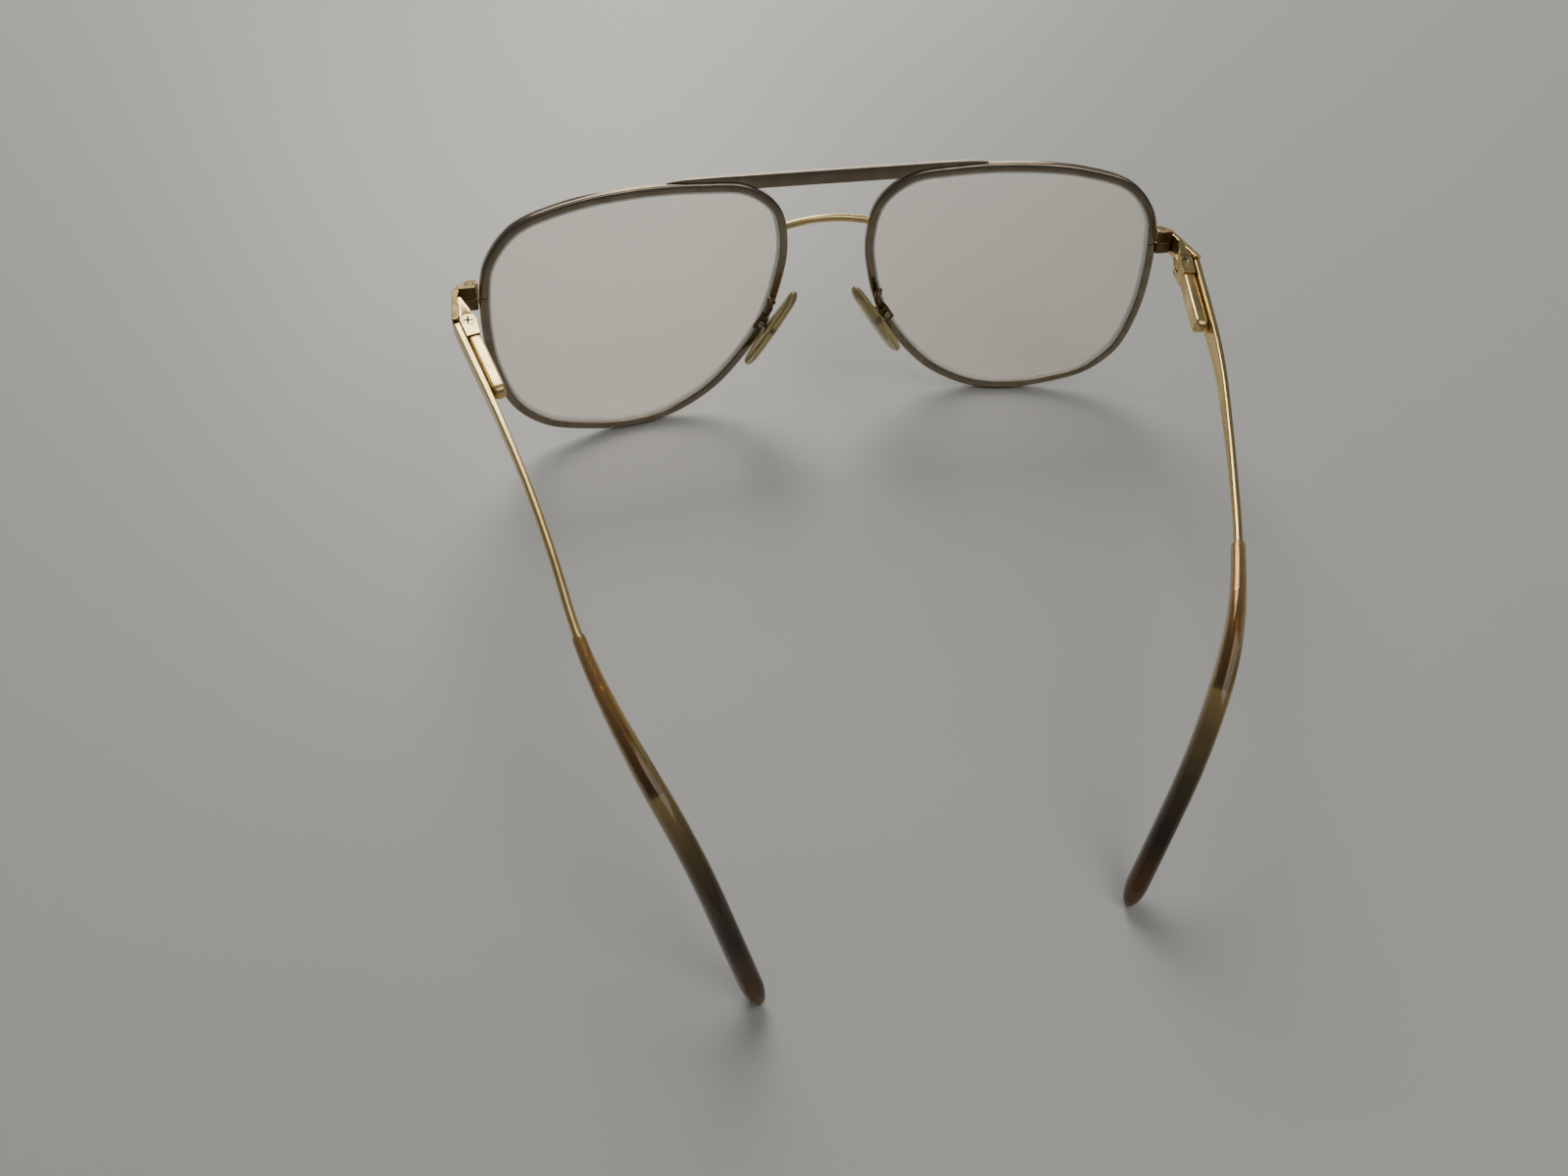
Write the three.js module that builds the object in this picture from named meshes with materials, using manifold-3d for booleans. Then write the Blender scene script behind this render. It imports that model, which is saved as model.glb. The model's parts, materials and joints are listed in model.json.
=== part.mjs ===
// Aviator spectacles with a metal frame, spring hinges and acetate tips.
// Millimetres. +Z up, the front faces -Y and the arms run to +Y. The wearer's left is +X.
// The frame stands as it does on a table: on the bottoms of both rims and on both tips.
import * as THREE from "three";
import { mergeVertices } from "three/addons/utils/BufferGeometryUtils.js";
import Module from "manifold-3d";

// ---------- driving dimensions ----------
const GAP = 0.12; // between two pieces that are soldered or pressed together
const PLAY = 0.15; // beside a piece that slides or turns
const BORE_PLAY = 0.06; // round a shank in its hole

const BRIDGE_GAP = 16.6; // between the two rim wires at their widest
const WRAP = 6.6; // each lens turned round the face, degrees
const LEAN = 15; // the front leans away from the face at its top, degrees
const LENS_RADIUS = 140; // of the lens curve
const EYE_WIDTH = 57.6; // over the middle of the rim wire
const EYE_HEIGHT = 47.2;

const RIM_DEPTH = 1.9;
const RIM_OUT = 0.8; // from the middle of the rim wire to its outer face
const RIM_IN = 0.7;
const GROOVE = 0.5; // depth of the V that holds the lens
const RIM_CUT = 0.2; // the cut that the closing block draws together
const LENS_THICKNESS = 1.8;

const BAR_HEIGHT = 2.6;
const BAR_THICKNESS = 1.0;
const BAR_SHORT = 6.6; // each end stops this far inside the lens centre, where it runs out on the rim
const BAR_RISE = 1.4; // its top above the rim wire's middle at the brow
const BRIDGE_HEIGHT = 14.3;
const BRIDGE_ARCH = 1.0;
const BRIDGE_RADIUS = 0.7;

const PAD_LENGTH = 17.4;
const PAD_WIDTH = 8.0;
const PAD_THICKNESS = 2.1;
const PAD_FLARE = 34; // its foot turned outward, degrees
// Each pad has been bent to fit its wearer. Its rear edge is turned outward by so many degrees.
const PAD_SPLAY = { left: 20, right: 10 };
const PAD_OFFSET = { left: [0.36, 3.95, 0], right: [-1.54, 3.95, 0] }; // from the rim beside it
const PAD_SHARE = 0.51; // how far round the rim it stands
const PAD_ARM_SHARE = 0.488; // how far round the rim its arm is soldered on
const PAD_POST = 1.2; // width of the square foot that stands in the pad box
const PAD_BOX = { near: 0.4, deep: 1.9, length: 3.0, width: 2.4, wall: 0.4 }; // near: behind the pad
const PAD_SCREW_RADIUS = 0.35;
const PAD_SCREW_HEAD = 0.62;
const PAD_WIRE_RADIUS = 0.5;

const BAND_HEIGHT = 4.0;
const BAND_THICKNESS = 1.15;
const END_REACH = 4.74; // from the rim to the outer face of the end piece
const END_AHEAD = 3.74; // its front face ahead of the rim wire's middle
const END_BELOW = 0.72; // its middle below the cut in the rim
const BLOCK_HEIGHT = 2.1; // of each half of the closing block
const BLOCK_DEPTH = 3.3;
const RIM_SCREW_RADIUS = 0.44;
const RIM_SCREW_HEAD = 0.79;

const PIN_BACK = 12.6; // hinge pin behind the front face of the end piece
const PIN_BELOW = 0.43; // hinge pin below the middle of the end piece
const PIN_BESIDE = 0.1; // between the hinge eyes and the end piece
const ARM_RISE = -1.31; // the straight part of the arm above the level, degrees
const ARM_YAW = 11.4; // how far a fully open arm runs inward at the hinge, degrees
const REST_FOLD = { left: 3.4, right: 0 }; // how far each arm is folded in at rest, degrees

const MITRE = 0.1; // from the pin back to the end of the end piece
const HINGE_HEIGHT = 3.4;
const EYE_RADIUS = 1.4; // of the hinge eyes
const TONGUE_HEIGHT = 1.0;
const SCREW_RADIUS = 0.6;
const SCREW_HEAD = 1.05;
const HEAD_BACK = 3.6; // from the pin to the back of the hinge head
const LEAF_LENGTH = 4.1;

const BOX_LENGTH = 13.6; // the housing of the hinge spring
const BOX_WIDTH = 2.3;
const BOX_HEIGHT = 2.9;
const BORE_RADIUS = 0.8;
const ROD_RADIUS = 0.35;
const ROD_LENGTH = 8.6;
const WASHER = 0.7; // thickness
const NUT = 0.9;
const SPRING_WIRE = 0.11; // radius of the wire
const SPRING_TURNS = 7;

const ARM_LENGTH = 131.9;
const ARM_STRAIGHT = 76.4; // before the arm turns down behind the ear
const ARM_BEND = 35.4;
const ARM_DROP = 51.9; // degrees
// Each arm has been bent to fit its wearer: [share of the length, degrees inward from the hinge].
const ARM_HEADING = {
  left: [[0, 0], [0.13, 0], [0.25, -2.1], [0.45, -7.3], [0.72, 10.8], [1, 11]],
  right: [[0, 0], [0.13, 0], [0.25, 6.2], [0.45, 8.6], [0.72, 20.2], [1, 23.4]],
};
const WIRE_RADIUS = 0.75; // where the arm goes into its tip
const TIP_LENGTH = 65.2;
const TIP_WIRE = 26.2; // how far the wire goes into the tip
const TIP_WIDTH = 3.4;
const TIP_HEIGHT = 4.2;

// ---------- materials ----------
const finish = (color, roughness, metalness) => new THREE.MeshStandardMaterial({ color, roughness, metalness });
const gold = finish(0xcdb679, 0.22, 1);
const darkGold = finish(0x8f7b4c, 0.35, 1);
const steel = finish(0xb9b6ae, 0.3, 1);
const lensMaterial = finish(0xe6dccb, 0.05, 0);
lensMaterial.transparent = true;
lensMaterial.opacity = 0.3;
const padMaterial = finish(0xb3a56a, 0.35, 0);
const tipMaterial = finish(0x6d5330, 0.2, 0);

// ---------- ways of making a solid ----------
const wasm = await Module();
wasm.setup();
const radians = THREE.MathUtils.degToRad;

const at = (x, y, z) => new THREE.Vector3(x, y, z);

// A closed skin over rings of points, each ring with the same number of points, closed at both ends.
function skin(rings) {
  const count = rings[0].length;
  const points = rings.flat();
  const faces = [];
  for (let i = 0; i + 1 < rings.length; i += 1) {
    for (let j = 0; j < count; j += 1) {
      const [a, b] = [i * count + j, i * count + ((j + 1) % count)];
      faces.push([a, b, b + count], [a, b + count, a + count]);
    }
  }
  const middle = (ring) => ring.reduce((sum, p) => sum.add(p), at(0, 0, 0)).divideScalar(count);
  const last = (rings.length - 1) * count;
  const [first, final] = [points.length, points.length + 1];
  points.push(middle(rings[0]), middle(rings[rings.length - 1]));
  for (let j = 0; j < count; j += 1) {
    const next = (j + 1) % count;
    faces.push([first, next, j], [final, last + j, last + next]);
  }
  const volume = faces.reduce((sum, [a, b, c]) => sum + points[a].dot(points[b].clone().cross(points[c])), 0);
  const outward = volume > 0 ? faces : faces.map(([a, b, c]) => [a, c, b]);
  return new THREE.BufferGeometry().setFromPoints(points).setIndex(outward.flat());
}

// A closed geometry as a solid that can be joined and cut, and back again.
function solid(geometry) {
  const bare = geometry.clone();
  bare.deleteAttribute("normal");
  bare.deleteAttribute("uv");
  const merged = mergeVertices(bare, 1e-4);
  return new wasm.Manifold(new wasm.Mesh({
    numProp: 3,
    vertProperties: new Float32Array(merged.attributes.position.array),
    triVerts: new Uint32Array(merged.index.array),
  }));
}
function surface(body) {
  const mesh = body.getMesh();
  const geometry = new THREE.BufferGeometry();
  geometry.setAttribute("position", new THREE.BufferAttribute(mesh.vertProperties, 3));
  geometry.setIndex(new THREE.BufferAttribute(mesh.triVerts, 1));
  return geometry;
}

const block = (x0, x1, y0, y1, z0, z1) => new THREE.BoxGeometry(x1 - x0, y1 - y0, z1 - z0)
  .translate((x0 + x1) / 2, (y0 + y1) / 2, (z0 + z1) / 2);
// A round bar on the Z axis through the given point.
const bar = (radius, z0, z1, sides = 20, x = 0, y = 0) => new THREE
  .CylinderGeometry(radius, radius, z1 - z0, sides)
  .rotateX(Math.PI / 2).translate(x, y, (z0 + z1) / 2);
// A flat outline in plan, given as [x, y] points, between two heights.
const plate = (outline, z0, z1) => new THREE.ExtrudeGeometry(
  new THREE.Shape(outline.map(([x, y]) => new THREE.Vector2(x, y))),
  { depth: z1 - z0, bevelEnabled: false },
).translate(0, 0, z0);

// A round wire along a curve.
function wire(curve, radius, steps, sides = 10) {
  const circle = new THREE.Shape(Array.from({ length: sides }, (_, i) => {
    const turn = (2 * Math.PI * i) / sides;
    return new THREE.Vector2(radius * Math.cos(turn), radius * Math.sin(turn));
  }));
  return new THREE.ExtrudeGeometry(circle, { steps, extrudePath: curve });
}

const group = new THREE.Group();
function piece(parent, name, geometry, material) {
  const mesh = new THREE.Mesh(geometry, material);
  mesh.name = name;
  parent.add(mesh);
}

// ---------- the outline of an eye ----------
// Points of the rim wire's middle line as shares of half the width and half the height, from the lens
// centre: +u to the temple, +v up. The line starts at the closing block and runs up over the brow.
const OUTLINE = [
  [0.983, 0.34], [0.93, 0.6], [0.755, 0.835], [0.44, 0.95], [0, 0.998], [-0.44, 0.99], [-0.74, 0.945],
  [-0.93, 0.76], [-0.985, 0.45], [-0.952, 0.14], [-0.855, -0.22], [-0.7, -0.5], [-0.47, -0.775],
  [-0.17, -0.955], [0.12, -1], [0.42, -0.952], [0.7, -0.835], [0.885, -0.62], [0.975, -0.3], [1, 0.0],
];
const eyeSpacing = EYE_WIDTH + BRIDGE_GAP; // between the two lens centres
const eyeLine = new THREE.CatmullRomCurve3(
  OUTLINE.map(([u, v]) => at((u * EYE_WIDTH) / 2, 0, (v * EYE_HEIGHT) / 2)),
  true,
  "centripetal",
);
eyeLine.arcLengthDivisions = 800;
const lensBack = (u, v) => (u * u + v * v) / (2 * LENS_RADIUS);

// A point beside the outline: out is away from the lens, back is towards the face.
function besideOutline(share, out, back) {
  const on = eyeLine.getPointAt(((share % 1) + 1) % 1);
  const along = eyeLine.getTangentAt(((share % 1) + 1) % 1);
  const u = on.x + along.z * out;
  const v = on.z - along.x * out;
  return at(u, lensBack(on.x, on.z) + back, v);
}

const RIM_STEPS = 60;
const cutShare = RIM_CUT / 2 / eyeLine.getLength();
// The rim and the lens step round the outline at the same places, from one side of the cut to the other.
const rimShares = Array.from(
  { length: RIM_STEPS + 1 },
  (_, i) => cutShare + ((1 - 2 * cutShare) * i) / RIM_STEPS,
);
const rimHalf = RIM_DEPTH / 2;
const RIM_SECTION = [
  [-RIM_IN, -rimHalf], [RIM_OUT - 0.3, -rimHalf], [RIM_OUT, 0.3 - rimHalf], [RIM_OUT, rimHalf - 0.3],
  [RIM_OUT - 0.3, rimHalf], [-RIM_IN, rimHalf], [-RIM_IN, GROOVE - 0.05], [GROOVE - RIM_IN, 0],
  [-RIM_IN, 0.05 - GROOVE],
];
function rim() {
  return skin(rimShares.map((share) => RIM_SECTION.map(([out, back]) => besideOutline(share, out, back))));
}

// The lens: two parallel curved faces and a V-shaped edge that sits in the groove of the rim.
function lens() {
  const edge = -RIM_IN - GAP;
  const face = LENS_THICKNESS / 2;
  const ring = (size, out, back) => rimShares.map((share) => {
    const p = besideOutline(share, out, 0);
    const shift = size * (p.y - lensBack(p.x, p.z)); // its edge follows the rim, its middle the lens curve
    return at(p.x * size, lensBack(p.x * size, p.z * size) + shift + back, p.z * size);
  });
  const sizes = [0.05, 0.55, 1];
  return skin([
    ...sizes.map((size) => ring(size, edge, -face)),
    ring(1, edge, -GROOVE),
    ring(1, edge + GROOVE - 0.08, 0),
    ring(1, edge, GROOVE),
    ...sizes.map((size) => ring(size, edge, face)).reverse(),
  ]);
}

// ---------- the front ----------
const front = new THREE.Group();
front.rotation.x = radians(LEAN);
front.updateMatrix();
group.add(front);

// An eye's own frame stands at the lens centre, turned round the face.
function eyeFrame() {
  const frame = new THREE.Group();
  frame.position.x = eyeSpacing / 2;
  frame.rotation.z = radians(WRAP);
  return frame;
}
const eyeMatrix = new THREE.Matrix4().makeRotationZ(radians(WRAP)).setPosition(eyeSpacing / 2, 0, 0);
const onFront = (share, out, back) => besideOutline(share, out, back).applyMatrix4(eyeMatrix);

const barTop = EYE_HEIGHT / 2 + BAR_RISE;
const barReach = eyeSpacing / 2 - BAR_SHORT;
// Brow bar: a flat strip, straight along its top, that follows the tops of both rims from below.
function browBar() {
  const top = Array.from({ length: 81 }, (_, i) => onFront(0.04 + (0.4 * i) / 80, RIM_OUT + GAP, 0));
  const topAt = (x) => {
    const i = top.findIndex((p, k) => k > 0 && p.x <= x && p.z > 0);
    if (i < 0) return { z: -Infinity, y: 0 };
    const share = (x - top[i - 1].x) / (top[i].x - top[i - 1].x);
    return top[i - 1].clone().lerp(top[i], share);
  };
  const under = barTop - BAR_HEIGHT;
  const backAt = (x) => topAt(Math.max(x, eyeSpacing / 4)).y;
  const rings = [];
  const STEPS = 32;
  for (let i = 0; i <= STEPS; i += 1) {
    const x = barReach * ((2 * i) / STEPS - 1);
    const low = Math.max(under, topAt(Math.abs(x)).z);
    const back = backAt(Math.abs(x));
    const edge = barTop - 0.15;
    rings.push([[-1, low], [1, low], [1, edge], [0.7, barTop], [-0.7, barTop], [-1, edge]]
      .map(([side, z]) => at(x, back + (side * BAR_THICKNESS) / 2, z)));
  }
  return skin(rings);
}
piece(front, "brow_bar", browBar(), gold);

// Bridge: a round wire, arched a little, from rim to rim.
function bridge() {
  const shares = Array.from({ length: 200 }, (_, i) => 0.3 + (0.3 * i) / 199);
  const end = shares.map((s) => onFront(s, RIM_OUT + GAP, 0)).find((p) => p.z < BRIDGE_HEIGHT);
  const reach = end.x - BRIDGE_RADIUS * 0.12;
  const arch = new THREE.QuadraticBezierCurve3(
    at(-reach, end.y, BRIDGE_HEIGHT),
    at(0, end.y, BRIDGE_HEIGHT + 2 * BRIDGE_ARCH),
    at(reach, end.y, BRIDGE_HEIGHT),
  );
  return wire(arch, BRIDGE_RADIUS, 12);
}
piece(front, "bridge_wire", bridge(), gold);

// ---------- nose pads ----------
// A pad's own frame: Z up its length, Y to its rear edge, -X to the nose.
function padFrame(side) {
  const turn = new THREE.Euler(0, radians(-PAD_FLARE), radians(-PAD_SPLAY[side]), "YZX");
  const centre = onFront(PAD_SHARE, RIM_OUT, RIM_DEPTH / 2).add(at(...PAD_OFFSET[side]));
  return new THREE.Matrix4().makeRotationFromEuler(turn).setPosition(centre);
}
const padBoxFront = PAD_THICKNESS / 2 + PAD_BOX.near;
const padBoxBack = padBoxFront + PAD_BOX.deep;
const padAxisX = padBoxFront + 0.8;
const padScrewHole = () => bar(PAD_SCREW_RADIUS + BORE_PLAY, -2, 2, 16)
  .rotateX(Math.PI / 2).translate(padAxisX, 0, 0);

function nosePad() {
  const profile = [[1, 0.55], [0.85, 0.86], [0.4, 1], [-0.25, 0.97], [-0.75, 0.75], [-1, 0.35]];
  const SIDES = 24;
  const body = skin(profile.map(([x, size]) => Array.from({ length: SIDES }, (_, j) => {
    const turn = (2 * Math.PI * j) / SIDES;
    const narrow = 1 + 0.12 * Math.sin(turn); // the foot is a little wider than the head
    const upright = Math.sign(Math.sin(turn)) * Math.abs(Math.sin(turn)) ** 0.9;
    return at(
      (x * PAD_THICKNESS) / 2,
      (size * PAD_WIDTH * Math.cos(turn)) / (2 * narrow),
      (upright * (PAD_LENGTH - PAD_WIDTH * (1 - size))) / 2,
    );
  })));
  const post = block(PAD_THICKNESS / 2 - 0.6, padAxisX + 0.5, -PAD_POST / 2, PAD_POST / 2, -0.5, 0.5);
  return surface(solid(body).add(solid(post)).subtract(solid(padScrewHole())));
}
function padBox() {
  const { length, width, wall } = PAD_BOX;
  const side = PAD_POST / 2 + PLAY;
  const outer = block(padBoxFront, padBoxBack, -width / 2, width / 2, -length / 2, length / 2);
  const pocket = block(padBoxFront - 1, padBoxBack - wall, -side, side, -0.85, 0.85);
  return surface(solid(outer).subtract(solid(pocket)).subtract(solid(padScrewHole())));
}
function padScrew() {
  const reach = PAD_BOX.width / 2;
  const shank = bar(PAD_SCREW_RADIUS, -reach - 0.1, reach + 0.3, 16);
  const head = bar(PAD_SCREW_HEAD, reach + GAP, reach + 0.5, 16);
  const slot = block(-1, 1, -0.09, 0.09, reach + 0.34, reach + 1);
  return surface(solid(shank).add(solid(head)).subtract(solid(slot)))
    .rotateX(-Math.PI / 2).translate(padAxisX, 0, 0);
}
// The pad arm is a short hook of wire: back from the rim, over, and down on to the top of the pad box.
function padArm(side) {
  const overBox = (height) => at(padBoxFront + PAD_BOX.deep / 2, 0, PAD_BOX.length / 2 + height)
    .applyMatrix4(padFrame(side));
  const start = onFront(PAD_ARM_SHARE, 0.1, rimHalf + GAP + PAD_WIRE_RADIUS);
  const end = overBox(2 * GAP);
  const hook = new THREE.CatmullRomCurve3([
    start,
    start.clone().add(at(0.35, 0.8, 0.5)),
    start.clone().lerp(end, 0.5).add(at(0.1, 0.3, 2.2)),
    overBox(1.7).add(at(0, 0.1, 0)),
    overBox(1.0),
    end,
  ]);
  return wire(hook, PAD_WIRE_RADIUS, 16, 8);
}

// ---------- end piece and closing block ----------
const lockRim = onFront(0, RIM_OUT, 0);
const bandOuter = lockRim.x + END_REACH;
const bandInner = bandOuter - BAND_THICKNESS;
const bandFront = onFront(0, 0, 0).y - END_AHEAD;
const bandMiddle = lockRim.z - END_BELOW;
// The hinge stands upright on the table, so the front sees it turned back by the lean.
const pinPlace = at(
  bandInner - EYE_RADIUS - PIN_BESIDE,
  bandFront + PIN_BACK,
  bandMiddle - PIN_BELOW,
);
const pinMatrix = new THREE.Matrix4().makeRotationX(radians(ARM_RISE - LEAN)).setPosition(pinPlace);

function endPiece() {
  const rear = pinPlace.y + 3;
  const left = lockRim.x + GAP;
  const near = bandFront;
  const outline = [
    [left, near + 0.1], [bandOuter - 2.6, near], [bandOuter - 1.5, near + 0.6],
    [bandOuter - 0.5, near + 1.9], [bandOuter, near + 3.4], [bandOuter, rear], [bandInner, rear],
    [bandInner, near + 3.4], [bandInner - 0.6, near + 2.2],
    [bandInner - 1.6, near + BAND_THICKNESS], [left, near + BAND_THICKNESS + 0.1],
  ];
  const strip = plate(outline, bandMiddle - BAND_HEIGHT / 2, bandMiddle + BAND_HEIGHT / 2);
  const open = new THREE.Matrix4().makeRotationZ(radians(ARM_YAW));
  const beyond = block(-20, 20, MITRE, 30, -20, 20).applyMatrix4(open).applyMatrix4(pinMatrix);
  return surface(solid(strip).subtract(solid(beyond)));
}

const besideBlocks = [0.015, 0.985].map((share) => onFront(share, RIM_OUT, 0).x);
const blockInner = Math.max(...besideBlocks) + GAP;
const blockFront = bandFront + BAND_THICKNESS + 0.1 + GAP;
const lockTop = lockRim.z + RIM_CUT / 2 + BLOCK_HEIGHT;
const lockScrewX = blockInner + 1.05;
const lockScrewY = blockFront + BLOCK_DEPTH / 2;
function closingBlock(upper) {
  const x0 = blockInner;
  const x1 = bandInner - GAP;
  const [y0, y1] = [blockFront, blockFront + BLOCK_DEPTH];
  const z0 = upper ? lockRim.z + RIM_CUT / 2 : lockRim.z - RIM_CUT / 2 - BLOCK_HEIGHT;
  const body = plate([[x0, y0], [x1 - 1.7, y0], [x1 - 0.6, y0 + 1.2], [x1, y0 + 2.5], [x1, y1 - 0.4],
    [x1 - 0.4, y1], [x0 + 0.3, y1], [x0, y1 - 0.3]], z0, z0 + BLOCK_HEIGHT);
  const hole = bar(RIM_SCREW_RADIUS + BORE_PLAY, z0 - 1, z0 + BLOCK_HEIGHT + 1, 16, lockScrewX, lockScrewY);
  const seatRadius = RIM_SCREW_HEAD + BORE_PLAY;
  const seat = bar(seatRadius, lockTop - 0.45, lockTop + 5, 16, lockScrewX, lockScrewY);
  return surface(solid(body).subtract(solid(hole)).subtract(solid(seat)));
}
function lockScrew() {
  const top = lockTop - 0.05;
  const shank = bar(RIM_SCREW_RADIUS, lockRim.z - BLOCK_HEIGHT - 0.3, top - 0.2, 16, lockScrewX, lockScrewY);
  const head = bar(RIM_SCREW_HEAD, top - 0.35, top, 16, lockScrewX, lockScrewY);
  const slot = block(lockScrewX - 1, lockScrewX + 1, lockScrewY - 0.1, lockScrewY + 0.1, top - 0.2, top + 1);
  return surface(solid(shank).add(solid(head)).subtract(solid(slot)));
}

// ---------- hinge ----------
// Everything here is in the frame of the pin: Z along the pin, Y along the arm.
const bandSide = bandInner - pinPlace.x; // from the pin to the inner face of the end piece
const tall = HINGE_HEIGHT / 2;

// Front leaf: a wedge on the inner face of the end piece, with one tongue that holds the middle eye.
function hingeLeaf() {
  const near = -EYE_RADIUS - 0.2;
  const inner = -EYE_RADIUS / 3; // clear of the hinge head when the arm is folded
  const wedge = plate([
    [bandSide - GAP, near - LEAF_LENGTH], [bandSide - GAP, 0.2], [inner, 0.2], [inner, near - 0.8],
    [bandSide - 0.5, near - LEAF_LENGTH],
  ], -tall, tall);
  const room = bar(EYE_RADIUS + 0.2, -tall - 1, tall + 1, 32);
  const behind = block(-5, 5, -0.6, 5, -tall - 1, tall + 1);
  const eye = bar(EYE_RADIUS - 0.05, -TONGUE_HEIGHT / 2, TONGUE_HEIGHT / 2, 28);
  const neck = block(-0.9, 0.9, near - 1, 0, -TONGUE_HEIGHT / 2, TONGUE_HEIGHT / 2);
  const hole = bar(SCREW_RADIUS + BORE_PLAY, -tall, tall, 24);
  return surface(solid(wedge).subtract(solid(room)).subtract(solid(behind))
    .add(solid(eye)).add(solid(neck)).subtract(solid(hole)));
}

// Hinge screw: a countersunk head with a crossed slot, flush with the top eye.
function hingeScrew() {
  const shank = bar(SCREW_RADIUS, -tall + 0.1, tall - 0.2, 24);
  const head = bar(SCREW_HEAD, tall - 0.6, tall - 0.02, 24);
  const slot = block(-0.8, 0.8, -0.12, 0.12, tall - 0.3, tall + 1);
  const cross = block(-0.12, 0.12, -0.8, 0.8, tall - 0.3, tall + 1);
  return surface(solid(shank).add(solid(head)).subtract(solid(slot)).subtract(solid(cross)));
}

// Hinge head: the two outer eyes on a wedge-shaped block, with the rod that runs into the spring housing.
const boxMiddle = bandSide - 2 * GAP - BOX_WIDTH / 2;
function hingeHead() {
  const side = bandSide - 2 * GAP;
  const eyes = bar(EYE_RADIUS, -tall, tall, 32);
  const wedge = plate([
    [side, 0], [side, HEAD_BACK], [side - BOX_WIDTH + 0.1, HEAD_BACK], [-EYE_RADIUS * 0.97, 0.35],
  ], -tall, tall);
  const beyond = block(side, 5, -5, 5, -9, 9);
  const slot = block(-5, 5, -5, EYE_RADIUS + PLAY, -TONGUE_HEIGHT / 2 - PLAY, TONGUE_HEIGHT / 2 + PLAY);
  const hole = bar(SCREW_RADIUS + BORE_PLAY, -9, 9, 24);
  const seat = bar(SCREW_HEAD + 0.07, tall - 0.65, 9, 24);
  const rod = bar(ROD_RADIUS, -0.5, ROD_LENGTH, 12).rotateX(-Math.PI / 2).translate(boxMiddle, HEAD_BACK, 0);
  const nut = bar(BORE_RADIUS - GAP, ROD_LENGTH - NUT, ROD_LENGTH, 12)
    .rotateX(-Math.PI / 2).translate(boxMiddle, HEAD_BACK, 0);
  return surface(solid(eyes).add(solid(wedge)).subtract(solid(beyond)).subtract(solid(slot))
    .subtract(solid(hole)).subtract(solid(seat)).add(solid(rod)).add(solid(nut)));
}

// Spring housing: a bar with rounded edges and a rounded back end, bored from the front.
const boxFront = HEAD_BACK + GAP;
const boxBack = boxFront + BOX_LENGTH;
const boreEnd = boxFront + ROD_LENGTH + 1.6;
function springBox() {
  const SIDES = 16;
  const ring = (y, size) => Array.from({ length: SIDES }, (_, j) => {
    const turn = (2 * Math.PI * (j + 0.5)) / SIDES;
    const round = (value) => Math.sign(value) * Math.abs(value) ** 0.45;
    return at(
      boxMiddle + (round(Math.cos(turn)) * BOX_WIDTH * size) / 2,
      y,
      (round(Math.sin(turn)) * BOX_HEIGHT * size) / 2,
    );
  });
  const body = skin([ring(boxFront, 0.97), ring(boxFront + 0.15, 1), ring(boxBack - 1.4, 1),
    ring(boxBack - 0.6, 0.9), ring(boxBack - 0.1, 0.68), ring(boxBack, 0.4)]);
  const bore = bar(BORE_RADIUS, boxFront - 1, boreEnd, 16).rotateX(-Math.PI / 2).translate(boxMiddle, 0, 0);
  return surface(solid(body).subtract(solid(bore)));
}
// The washer is pressed into the mouth of the housing. The rod runs through it and the spring bears on it.
function springWasher() {
  const ring = bar(BORE_RADIUS - BORE_PLAY, boxFront + 0.1, boxFront + WASHER, 16);
  const hole = bar(ROD_RADIUS + 0.08, boxFront - 1, boxFront + 2, 16);
  return surface(solid(ring).subtract(solid(hole))).rotateX(-Math.PI / 2).translate(boxMiddle, 0, 0);
}
function spring() {
  const from = boxFront + WASHER + SPRING_WIRE + BORE_PLAY;
  const to = HEAD_BACK + ROD_LENGTH - NUT - SPRING_WIRE - BORE_PLAY;
  const radius = (ROD_RADIUS + BORE_RADIUS) / 2;
  const PER_TURN = 8;
  const count = SPRING_TURNS * PER_TURN;
  const turns = Array.from({ length: count + 1 }, (_, i) => {
    const turn = (2 * Math.PI * i) / PER_TURN;
    return at(boxMiddle + radius * Math.cos(turn), from + ((to - from) * i) / count, radius * Math.sin(turn));
  });
  return wire(new THREE.CatmullRomCurve3(turns), SPRING_WIRE, count, 5);
}

// ---------- arm and tip ----------
// The arm's middle line, walked in short steps: its heading and its drop are set by the distance walked.
const STEP = 0.5;
const ribbonSide = bandSide + BAND_THICKNESS / 2;
function headingAt(headings, share) {
  const i = headings.findIndex(([s]) => s >= share);
  const [[s0, a0], [s1, a1]] = [headings[i - 1], headings[i]];
  return a0 + ((a1 - a0) * (share - s0)) / (s1 - s0);
}
function walkArm(headings) {
  const points = [at(ribbonSide, MITRE, 0)];
  for (let s = STEP / 2; s < ARM_LENGTH; s += STEP) {
    const drop = radians(ARM_DROP * THREE.MathUtils.clamp((s - ARM_STRAIGHT) / ARM_BEND, 0, 1));
    const inward = radians(headingAt(headings, s / ARM_LENGTH));
    const last = points[points.length - 1];
    points.push(at(
      last.x - STEP * Math.cos(drop) * Math.sin(inward),
      last.y + STEP * Math.cos(drop) * Math.cos(inward),
      last.z - STEP * Math.sin(drop),
    ));
  }
  return points;
}
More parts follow.
